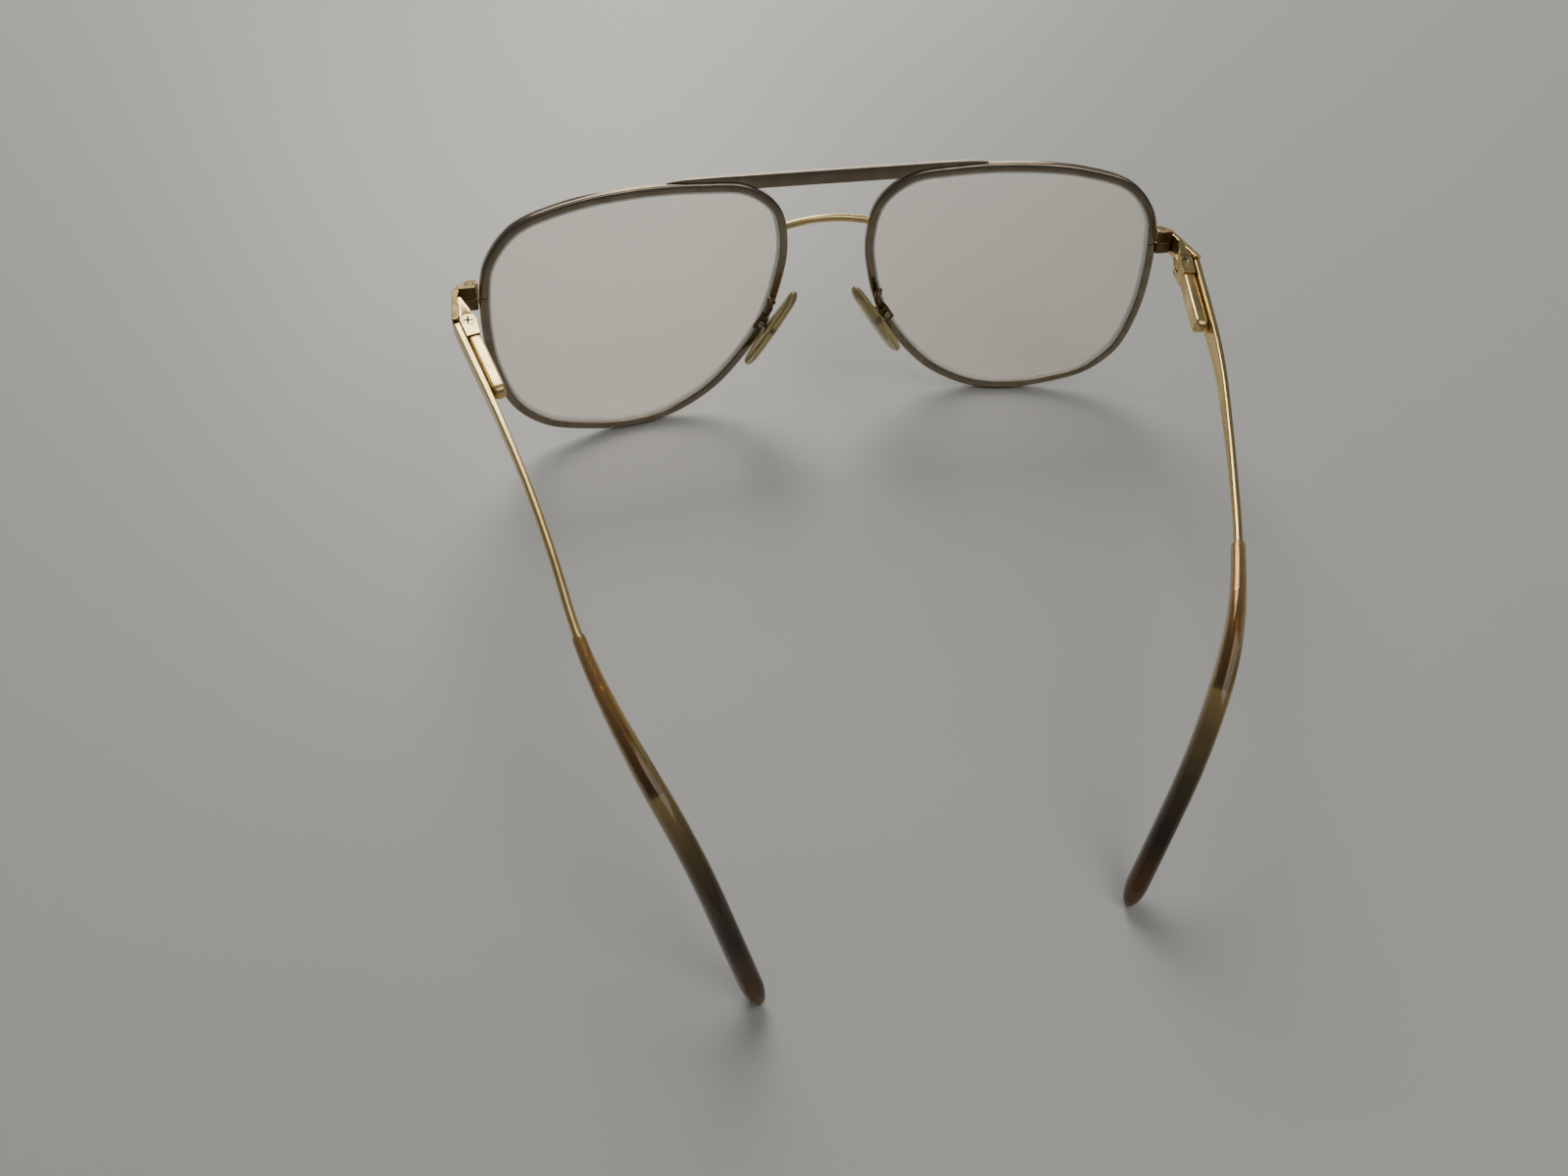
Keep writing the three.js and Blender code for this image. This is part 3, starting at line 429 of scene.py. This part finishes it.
# Bright turned steel for the screws.
screw_steel, tree = new_material("turned_screw_steel", "#B9B6AE")
place = add(tree, "ShaderNodeTexCoord").outputs["Object"]
turned = add(tree, "ShaderNodeTexNoise", {"Vector": place, "Scale": per_mm(0.15), "Detail": 2.0})
relief = add(tree, "ShaderNodeBump", {
    "Height": turned.outputs["Fac"], "Strength": 0.1, "Distance": RELIEF_DEPTH})
bright = add(tree, "ShaderNodeBsdfPrincipled", {
    "Base Color": linear("#C8B98F"), "Roughness": 0.28, "Metallic": 1.0,
    "Normal": relief.outputs["Normal"]})
add(tree, "ShaderNodeOutputMaterial", {"Surface": bright.outputs["BSDF"]})
# Nearly black, speckled and without gloss, on every face of each screw but its top, so only the top shows
# bright steel.
dark_below_top, tree = new_material("near_black_below_screw_top", "#3A3026")
place = add(tree, "ShaderNodeTexCoord").outputs["Object"]
dark_speckle = add(tree, "ShaderNodeTexNoise", {"Vector": place, "Scale": per_mm(0.2), "Detail": 2.0})
tone = add(tree, "ShaderNodeMix", {
    "Factor": dark_speckle.outputs["Fac"], "A": linear("#4A3D2E"), "B": linear("#231C15")}, data_type="RGBA")
dark_matt = add(tree, "ShaderNodeBsdfPrincipled", {"Base Color": tone.outputs[2], "Roughness": 0.8})
add(tree, "ShaderNodeOutputMaterial", {"Surface": dark_matt.outputs["BSDF"]})


def finish_by_height(piece, place, axis, mirror, top_finish, other_finish):
    """One finish on the top of a piece along an axis of its frame, and another on all its other faces."""
    out = place.to_3x3().col[axis]
    out = Vector((out.x * mirror, out.y, out.z))
    piece.data.materials.clear()
    for each in (top_finish, other_finish):
        piece.data.materials.append(each)
    top = max(v.co.dot(out) for v in piece.data.vertices)
    for face in piece.data.polygons:
        face.material_index = 0 if top - face.center.dot(out) < 0.02 * MM else 1


def break_edges(piece, width, segments):
    """A small live bevel, in millimetres, on every edge that is sharper than 40 degrees."""
    broken = piece.modifiers.new("broken_edges", "BEVEL")
    broken.width, broken.segments, broken.limit_method = width * MM, segments, "ANGLE"
    broken.angle_limit = math.radians(40)


def made_from(node, name, material, body, edge=0.08):
    """A machined piece: the frame's own solid with its edges broken."""
    bm = bmesh.new()
    bm.from_mesh(frame["nodes"][node].data)
    bmesh.ops.remove_doubles(bm, verts=bm.verts, dist=2e-6)
    bmesh.ops.dissolve_limit(bm, angle_limit=math.radians(1), verts=bm.verts, edges=bm.edges)
    piece = shell(name, bm, material, body, [node])
    break_edges(piece, edge, 2)
    return piece


def box_shape(low, high, place, mirror):
    """A plain block between two corners in a frame, to be given broken edges."""
    bm = bmesh.new()
    bmesh.ops.create_cube(bm, size=1)
    for v in bm.verts:
        v.co = world([low[k] if v.co[k] < 0 else high[k] for k in range(3)], place, mirror)
    return bm


for side, mirror in SIDES:
    rings = []
    for x, size in through(PAD_PROFILE, 40):
        ring = []
        for turn in np.linspace(0, 2 * math.pi, 72, endpoint=False):
            upright = math.copysign(abs(math.sin(turn)) ** PAD_SQUARENESS, math.sin(turn))
            sideways = size * PAD_WIDTH * math.cos(turn) / (2 + PAD_EGG * math.sin(turn))
            reach = (PAD_LENGTH - PAD_WIDTH) * min(1, size * PAD_FILL) + PAD_WIDTH * size
            ring.append((max(-1, min(1, x)) * PAD_THICKNESS / 2, sideways, upright * reach / 2))
        rings.append(ring)
    shell(f"nose_pad_moulding_{side}", loft(rings, on_pad(side), mirror), pad_acetate,
          f"nose_pad_{side}", [f"nose_pad_{side}"], sharp=60)
    # Painted shade: the pad insert, the pad box and the pad arm take the darkened gold.
    foot = box_shape(FOOT_LOW, FOOT_HIGH, on_pad(side), mirror)
    insert = shell(f"nose_pad_foot_{side}", foot, shade_painted_dull_gold, f"nose_pad_{side}")
    insert.modifiers.new("broken_edges", "BEVEL").width = 0.12 * MM
    made_from(f"pad_box_{side}", f"pad_box_stamped_{side}", shade_painted_dull_gold, "front", 0.12)
    screw = made_from(f"pad_screw_{side}", f"pad_screw_turned_{side}", screw_steel, "front", 0.05)
    finish_by_height(screw, on_pad(side), 1, mirror, screw_steel, dark_below_top)

    box_top = front.inverted() @ on_pad(side)
    above = [box_top @ Vector((PAD_BOX_FRONT + PAD_BOX_DEEP / 2, 0, PAD_BOX_LENGTH / 2 + rise))
             for rise in HOOK_RISE]
    root = on_eye @ beside_outline(PAD_ARM_SHARE, 0.1, half_depth + GAP / 2 + PAD_WIRE_RADIUS)
    hook = [root, root + Vector((0.35, 0.8, 0.5)), root.lerp(above[2], 0.5) + Vector((0.1, 0.3, 2.2)),
            above[0] + Vector((0, 0.1, 0)), above[1], above[2]]
    path = [world(p, front, mirror) for p in through(hook, 60)]
    wire(f"pad_arm_hook_{side}", path, PAD_WIRE_RADIUS, shade_painted_dull_gold, "front", [f"pad_arm_{side}"])

# ---------------------------------------------------------------- end pieces and closing blocks
# A strip bent round the corner of the front carries the hinge. Behind it a split block is soldered to the
# two ends of the rim, and a screw down through it closes the rim on the lens.
BAND_HEIGHT, BAND_THICKNESS = 4.0, 1.15
BAND_OUT, BAND_LOWER, BAND_AHEAD = 4.74, 0.72, 3.74  # from the rim at its closing block
CORNER, INSIDE_CORNER, CORNER_RADIUS = (1.9, 2.9), (1.4, 3.3), 1.6  # across and back
STRIP_SLANT, STRIP_SPARE = 0.1, 3  # what is spare behind the hinge pin is cut off at the mitre
ARM_RISE, ARM_YAW, MITRE = -1.31, 11.4, 0.1
REST_FOLD = {"left": 3.4, "right": 0.0}
lock_rim = on_eye @ beside_outline(0, RIM_OUT, 0)
band_outer, band_middle = lock_rim.x + BAND_OUT, lock_rim.z - BAND_LOWER
band_inner = band_outer - BAND_THICKNESS
on_pin = whole @ Matrix.Translation(PIN) @ Matrix.Rotation(math.radians(ARM_RISE), 4, "X")
from_pin = front.inverted() @ on_pin
near = (on_eye @ beside_outline(0, 0, 0)).y - BAND_AHEAD
strip_left, strip_rear = lock_rim.x + GAP / 2, from_pin.translation.y + STRIP_SPARE
strip = rounded([
    (strip_left, near + STRIP_SLANT), (band_outer - CORNER[0], near), (band_outer, near + CORNER[1]),
    (band_outer, strip_rear), (band_inner, strip_rear), (band_inner, near + INSIDE_CORNER[1]),
    (band_inner - INSIDE_CORNER[0], near + BAND_THICKNESS),
    (strip_left, near + BAND_THICKNESS + STRIP_SLANT)], CORNER_RADIUS, 10)
for side, mirror in SIDES:
    bm = bmesh.new()
    low, high = [band_middle + s * BAND_HEIGHT / 2 for s in (-1, 1)]
    bottom = bm.faces.new([bm.verts.new((x, y, low)) for x, y in strip])
    raised = bmesh.ops.extrude_face_region(bm, geom=[bottom])["geom"]
    top = [each for each in raised if isinstance(each, bmesh.types.BMVert)]
    bmesh.ops.translate(bm, vec=(0, 0, high - low), verts=top)
    cut = from_pin @ Matrix.Rotation(math.radians(ARM_YAW), 4, "Z")
    bmesh.ops.bisect_plane(bm, geom=bm.verts[:] + bm.edges[:] + bm.faces[:], clear_outer=True,
                           plane_co=cut @ Vector((0, MITRE, 0)), plane_no=cut.to_3x3() @ Vector((0, 1, 0)))
    bmesh.ops.holes_fill(bm, edges=bm.edges, sides=0)
    for v in bm.verts:
        v.co = world(v.co, front, mirror)
    end = shell(f"end_piece_strip_{side}", bm, gold, "front", [f"end_piece_{side}"])
    break_edges(end, 0.16, 3)
    for half_block in ("upper", "lower"):
        block = f"closing_block_{half_block}"
        filed = made_from(f"{block}_{side}", f"{block}_filed_{side}", shade_painted_dull_gold, "front", 0.14)
        # Painted light: the top faces get the bright polished gold and every other face the darkened gold, as
        # a lit top over shaded sides.
        finish_by_height(filed, front, 2, mirror, gold, shade_painted_dull_gold)
    screw = made_from(f"rim_screw_{side}", f"rim_screw_turned_{side}", screw_steel, "front", 0.05)
    finish_by_height(screw, front, 2, mirror, screw_steel, dark_below_top)

# ---------------------------------------------------------------- hinges
# Three eyes on one screw: the middle eye belongs to the leaf behind the end piece, the outer two to the
# hinge head. The head's rod runs back into the spring housing through a pressed washer.
for side, mirror in SIDES:
    made_from(f"hinge_leaf_{side}", f"hinge_leaf_milled_{side}", gold, "front")
    made_from(f"hinge_head_{side}", f"hinge_head_milled_{side}", gold, f"hinge_head_{side}")
    screw = made_from(f"hinge_screw_{side}", f"hinge_screw_turned_{side}", screw_steel, f"pin_{side}",
                      0.05)
    finish_by_height(screw, on_pin, 2, mirror, screw_steel, dark_below_top)
    made_from(f"spring_washer_{side}", f"spring_washer_pressed_{side}", screw_steel, f"arm_{side}",
              0.05)

# ---------------------------------------------------------------- spring housings
# A drawn box with rounded edges and a rounded back end, soldered along the inside of the arm. The coil
# spring inside lies between the washer and the nut on the rod. It shortens when the arm over-opens.
HEAD_BACK, BOX_LENGTH, BOX_WIDTH, BOX_HEIGHT, BORE_RADIUS = 3.6, 13.6, 2.3, 2.9, 0.8
ROD_LENGTH, ROD_RADIUS, NUT, WASHER, SPRING_WIRE, SPRING_TURNS = 8.6, 0.35, 0.9, 0.7, 0.11, 7
SPRING_PLAY, ROD_CLEARANCE, BOX_ROUND, BOX_SQUARENESS = 0.06, 1.6, 1.5, 0.4
BOX_MOUTH = [(0, 0.94), (0.06, 0.975), (0.18, 1.0)]  # how far in, and the share of full size
band_side = band_inner - PIN.x
box_middle = band_side - 2 * GAP - BOX_WIDTH / 2
box_front = HEAD_BACK + GAP
box_back = box_front + BOX_LENGTH
bore_end = box_front + ROD_LENGTH + ROD_CLEARANCE


def on_arm(side):
    """The arm's own frame at its hinge pin: Y back along the arm, X outward."""
    return on_pin @ Matrix.Rotation(math.radians(ARM_YAW + REST_FOLD[side]), 4, "Z")


def squared(value, power):
    """A sine or cosine pushed out towards a square."""
    return math.copysign(abs(value) ** power, value)


turns = [2 * math.pi * (j + 0.5) / 48 for j in range(48)]
rings = [[(box_middle + BORE_RADIUS * math.cos(t), y, BORE_RADIUS * math.sin(t)) for t in turns]
         for y in (bore_end, box_front)]
stations = [(box_front + y, size) for y, size in BOX_MOUTH]
stations += [(box_back - BOX_ROUND + BOX_ROUND * math.sin(a), math.cos(a) ** 0.7)
             for a in np.linspace(0, 1.4, 14)]
for y, size in stations:
    rings.append([(box_middle + squared(math.cos(t), BOX_SQUARENESS) * BOX_WIDTH * size / 2, y,
                   squared(math.sin(t), BOX_SQUARENESS) * BOX_HEIGHT * size / 2) for t in turns])
start = box_front + WASHER + SPRING_WIRE + SPRING_PLAY
stop = HEAD_BACK + ROD_LENGTH - NUT - SPRING_WIRE - SPRING_PLAY
middle = (ROD_RADIUS + BORE_RADIUS) / 2
wound = 2 * math.pi * SPRING_TURNS
coil = [(box_middle + middle * math.cos(t), start + (stop - start) * t / wound, middle * math.sin(t))
        for t in np.linspace(0, wound, 24 * SPRING_TURNS)]
for side, mirror in SIDES:
    shell(f"spring_housing_{side}", loft(rings, on_arm(side), mirror), gold, f"arm_{side}",
          [f"spring_box_{side}"], sharp=40)
    spring = wire(f"coil_spring_{side}", [world(p, on_arm(side), mirror) for p in coil], SPRING_WIRE,
                  screw_steel, f"arm_{side}", [f"hinge_spring_{side}"], 10)
    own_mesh(spring)

# ---------------------------------------------------------------- arms
# Each arm is one strip, flat at the hinge and drawn down to a round wire that runs on inside the tip.
# Both have been bent by hand to fit the wearer, so their lines differ.
PLAY, STEP, ARM_LENGTH, ARM_STRAIGHT, ARM_BEND, ARM_DROP = 0.15, 0.5, 131.9, 76.4, 35.4, 51.9
ARM_HEADING = {
    "left": [(0, 0), (0.13, 0), (0.25, -2.1), (0.45, -7.3), (0.72, 10.8), (1, 11)],
    "right": [(0, 0), (0.13, 0), (0.25, 6.2), (0.45, 8.6), (0.72, 20.2), (1, 23.4)],
}
WIRE_RADIUS, TIP_LENGTH, TIP_WIRE = 0.75, 65.2, 26.2
FLAT_LENGTH, WIRE_BEFORE_TIP = 6, 4  # flat behind the hinge, and fully round before the tip
COLLARS, COLLAR_HALF, COLLAR_RISE = (10, 25.6), 0.4, 0.08  # rings raised on the wire, inside the tip
tip_start = ARM_LENGTH - TIP_LENGTH


def walk(side):
    """The arm's middle line, in steps of STEP from the hinge."""
    line = [np.array((band_side + BAND_THICKNESS / 2, MITRE, 0.0))]
    shares, degrees = zip(*ARM_HEADING[side])
    s = STEP / 2
    while s < ARM_LENGTH:
        drop = math.radians(ARM_DROP * min(max((s - ARM_STRAIGHT) / ARM_BEND, 0), 1))
        turn = math.radians(np.interp(s / ARM_LENGTH, shares, degrees))
        line.append(line[-1] + STEP * np.array((-math.cos(drop) * math.sin(turn),
                                                math.cos(drop) * math.cos(turn), -math.sin(drop))))
        s += STEP
    return np.array(line)


def across(line, s, width, height, square, count):
    """A ring across the arm at a distance along it: square is 0 for round and 1 for nearly square."""
    i = min(int(s / STEP), len(line) - 2)
    on = line[i] + (line[i + 1] - line[i]) * (s / STEP - i)
    ends = (max(i - 3, 0), min(i + 4, len(line) - 1))
    smooth = [np.mean(line[max(k - 3, 0) : k + 4], axis=0) for k in ends]
    along = Vector(smooth[1] - smooth[0]).normalized()
    out = along.cross(Vector((0, 0, 1))).normalized()
    up = out.cross(along)
    power = 1 - 0.75 * square
    ring = []
    for j in range(count):
        t = 2 * math.pi * (j + 0.5) / count
        ring.append(Vector(on) + out * squared(math.cos(t), power) * width / 2
                    + up * squared(math.sin(t), power) * height / 2)
    return ring


def smoothstep(x, low, high):
    """0 up to low and 1 from high, with a smooth change between."""
    t = min(max((x - low) / (high - low), 0), 1)
    return t * t * (3 - 2 * t)


for side, mirror in SIDES:
    line = walk(side)
    rings = []
    for s in np.linspace(2 * PLAY, tip_start + TIP_WIRE, 260):
        drawn = smoothstep(s, FLAT_LENGTH, tip_start - WIRE_BEFORE_TIP)
        collar = COLLAR_RISE if min(abs(s - tip_start - at) for at in COLLARS) < COLLAR_HALF else 0
        width = BAND_THICKNESS + (2 * WIRE_RADIUS - BAND_THICKNESS) * drawn + 2 * collar
        height = BAND_HEIGHT + (2 * WIRE_RADIUS - BAND_HEIGHT) * drawn + 2 * collar
        rings.append(across(line, s, width, height, 1 - drawn, 40))
    shell(f"arm_strip_{side}", loft(rings, on_arm(side), mirror), gold, f"arm_{side}",
          [f"arm_{side}"], sharp=40)

# ---------------------------------------------------------------- tips
# Each tip is a rod of amber acetate, bored and heated to go on the wire, then bent down behind the ear.
# It is clear enough to show the wire, lighter near its mouth and brown towards its end.
TIP_WIDTH, TIP_HEIGHT, TIP_SQUARENESS = 3.4, 4.2, 0.25
MOUTH_SIZE, SWELL, SWELL_LENGTH = 0.62, 0.38, 0.45  # slimmer at the mouth, full before halfway
ROUND_FROM, ROUND_LENGTH, ROUND_RADIUS, ROUND_LEAST = 0.93, 0.07, 0.072, 0.06  # the rounded end
MOUTH_EASE, MOUTH_EASE_LENGTH, BORE_SPARE = 0.06, 0.006, 0.6
tip_acetate, tree = new_material("amber_acetate", "#6D5330")
place = add(tree, "ShaderNodeTexCoord").outputs["Object"]
along = add(tree, "ShaderNodeAttribute", attribute_name="along").outputs["Fac"]
mottle = add(tree, "ShaderNodeTexNoise", {"Vector": place, "Scale": per_mm(7.0), "Detail": 4.0})
drift = add(tree, "ShaderNodeMath", {0: mottle.outputs["Fac"], 1: 0.2, 2: -0.1}, operation="MULTIPLY_ADD")
depth = add(tree, "ShaderNodeMath", {0: along, 1: drift.outputs[0]}, operation="ADD")
shade = add(tree, "ShaderNodeValToRGB", {"Fac": depth.outputs[0]})
ramp = shade.color_ramp
ramp.elements[0].position, ramp.elements[0].color = 0.0, linear("#ECD3A0")
ramp.elements[1].position, ramp.elements[1].color = 1.0, linear("#6A4A28")
for at, code in ((0.14, "#E2C287"), (0.36, "#A38A56"), (0.6, "#5C4D32"), (0.82, "#2E251B")):
    ramp.elements.new(at).color = linear(code)
amber = add(tree, "ShaderNodeBsdfPrincipled", {
    "Base Color": shade.outputs["Color"], "Roughness": 0.1, "IOR": 1.49, "Transmission Weight": 0.9,
    "Coat Weight": 0.3, "Coat Roughness": 0.05})
add(tree, "ShaderNodeOutputMaterial", {"Surface": amber.outputs["BSDF"]})

for side, mirror in SIDES:
    line = walk(side)
    bore = 2 * (WIRE_RADIUS + GAP)
    stations = [(tip_start + (TIP_WIRE + BORE_SPARE) * (1 - i / 30), bore, bore, 0) for i in range(31)]
    shares = list(np.linspace(0, ROUND_FROM, 90))
    shares += [ROUND_FROM + ROUND_LENGTH * math.sin(a) for a in np.linspace(0.08, math.pi / 2, 16)]
    for share in shares:
        swell = MOUTH_SIZE + SWELL * smoothstep(share, 0, SWELL_LENGTH)
        end = 1
        if share > ROUND_FROM:
            end = math.sqrt(max(ROUND_LEAST, 1 - ((share - ROUND_FROM) / ROUND_RADIUS) ** 2))
        mouth = 1 - MOUTH_EASE * max(0, 1 - share / MOUTH_EASE_LENGTH)
        stations.append((tip_start + TIP_LENGTH * share, TIP_WIDTH * swell * end * mouth,
                         TIP_HEIGHT * swell * end * mouth, TIP_SQUARENESS))
    rings = [across(line, min(s, ARM_LENGTH), w, h, square, 40) for s, w, h, square in stations]
    piece = shell(f"tip_sleeve_{side}", loft(rings, on_arm(side), mirror), tip_acetate, f"arm_{side}",
                  [f"arm_tip_{side}"], sharp=50)
    shade_at = piece.data.attributes.new("along", "FLOAT", "POINT")
    mouth_at = Vector(world(across(line, tip_start, 0, 0, 0, 1)[0], on_arm(side), mirror))
    last = Vector(world(across(line, ARM_LENGTH - STEP, 0, 0, 0, 1)[0], on_arm(side), mirror))
    run = last - mouth_at
    shares = [(v.co - mouth_at).dot(run) / run.length_squared for v in piece.data.vertices]
    shade_at.data.foreach_set("value", shares)

# ---------------------------------------------------------------- table, light and camera
# A pale matt table under a soft window-like light behind the front, a low one that draws a bright line
# along the tops of the rims, and a weak one overhead.
floor_mesh = bpy.data.meshes.new("table_top")
floor_mesh.from_pydata([(-4, -4, 0), (4, -4, 0), (4, 4, 0), (-4, 4, 0)], [], [(0, 1, 2, 3)])
table = bpy.data.objects.new("table_top", floor_mesh)
bpy.context.scene.collection.objects.link(table)
pale, tree = new_material("pale_matt_table", "#DAD8D3")
top = add(tree, "ShaderNodeBsdfPrincipled", {"Base Color": linear("#C6C7C6"), "Roughness": 0.42})
add(tree, "ShaderNodeOutputMaterial", {"Surface": top.outputs["BSDF"]})
floor_mesh.materials.append(pale)

world_light = bpy.data.worlds.new("soft_room")
bpy.context.scene.world = world_light
world_light.use_nodes = True
world_light.node_tree.nodes.clear()
room = add(world_light.node_tree, "ShaderNodeBackground", {"Color": linear("#C9CDD2"), "Strength": 0.22})
add(world_light.node_tree, "ShaderNodeOutputWorld", {"Surface": room.outputs["Background"]})


def soft_light(name, at, size, power):
    """A square soft light that faces the middle of the object."""
    lamp = bpy.data.lights.new(name, "AREA")
    lamp.size, lamp.energy, lamp.color = size, power, linear("#FFF9EE")[:3]
    holder = bpy.data.objects.new(name, lamp)
    holder.location = at
    holder.rotation_euler = (Vector((0, 0, 0.02)) - Vector(at)).to_track_quat("-Z", "Y").to_euler()
    bpy.context.scene.collection.objects.link(holder)


soft_light("window", (0.05, -0.75, 0.62), 0.46, 5.4)
soft_light("low_sky", (-0.2, -0.95, 0.2), 0.5, 2.2)
soft_light("overhead", (-0.35, 0.25, 0.9), 0.6, 1.8)

camera = bpy.data.cameras.new("camera")
camera.lens, camera.sensor_width, camera.clip_start = 27.05, 36, 0.01
yaw, pitch, roll = math.radians(-17.51), math.radians(55.3), math.radians(7.22)
ahead = Vector((math.sin(yaw) * math.cos(pitch), -math.cos(yaw) * math.cos(pitch), -math.sin(pitch)))
level = Vector((-math.cos(yaw), -math.sin(yaw), 0))
upward = level.cross(ahead)
right = math.cos(roll) * level + math.sin(roll) * upward
upward = math.cos(roll) * upward - math.sin(roll) * level
facing = Matrix((right, upward, -ahead)).transposed().to_4x4()
viewer = bpy.data.objects.new("camera", camera)
viewer.matrix_world = Matrix.Translation((0.05501, 0.11211, 0.18109)) @ facing
bpy.context.scene.collection.objects.link(viewer)
bpy.context.scene.camera = viewer
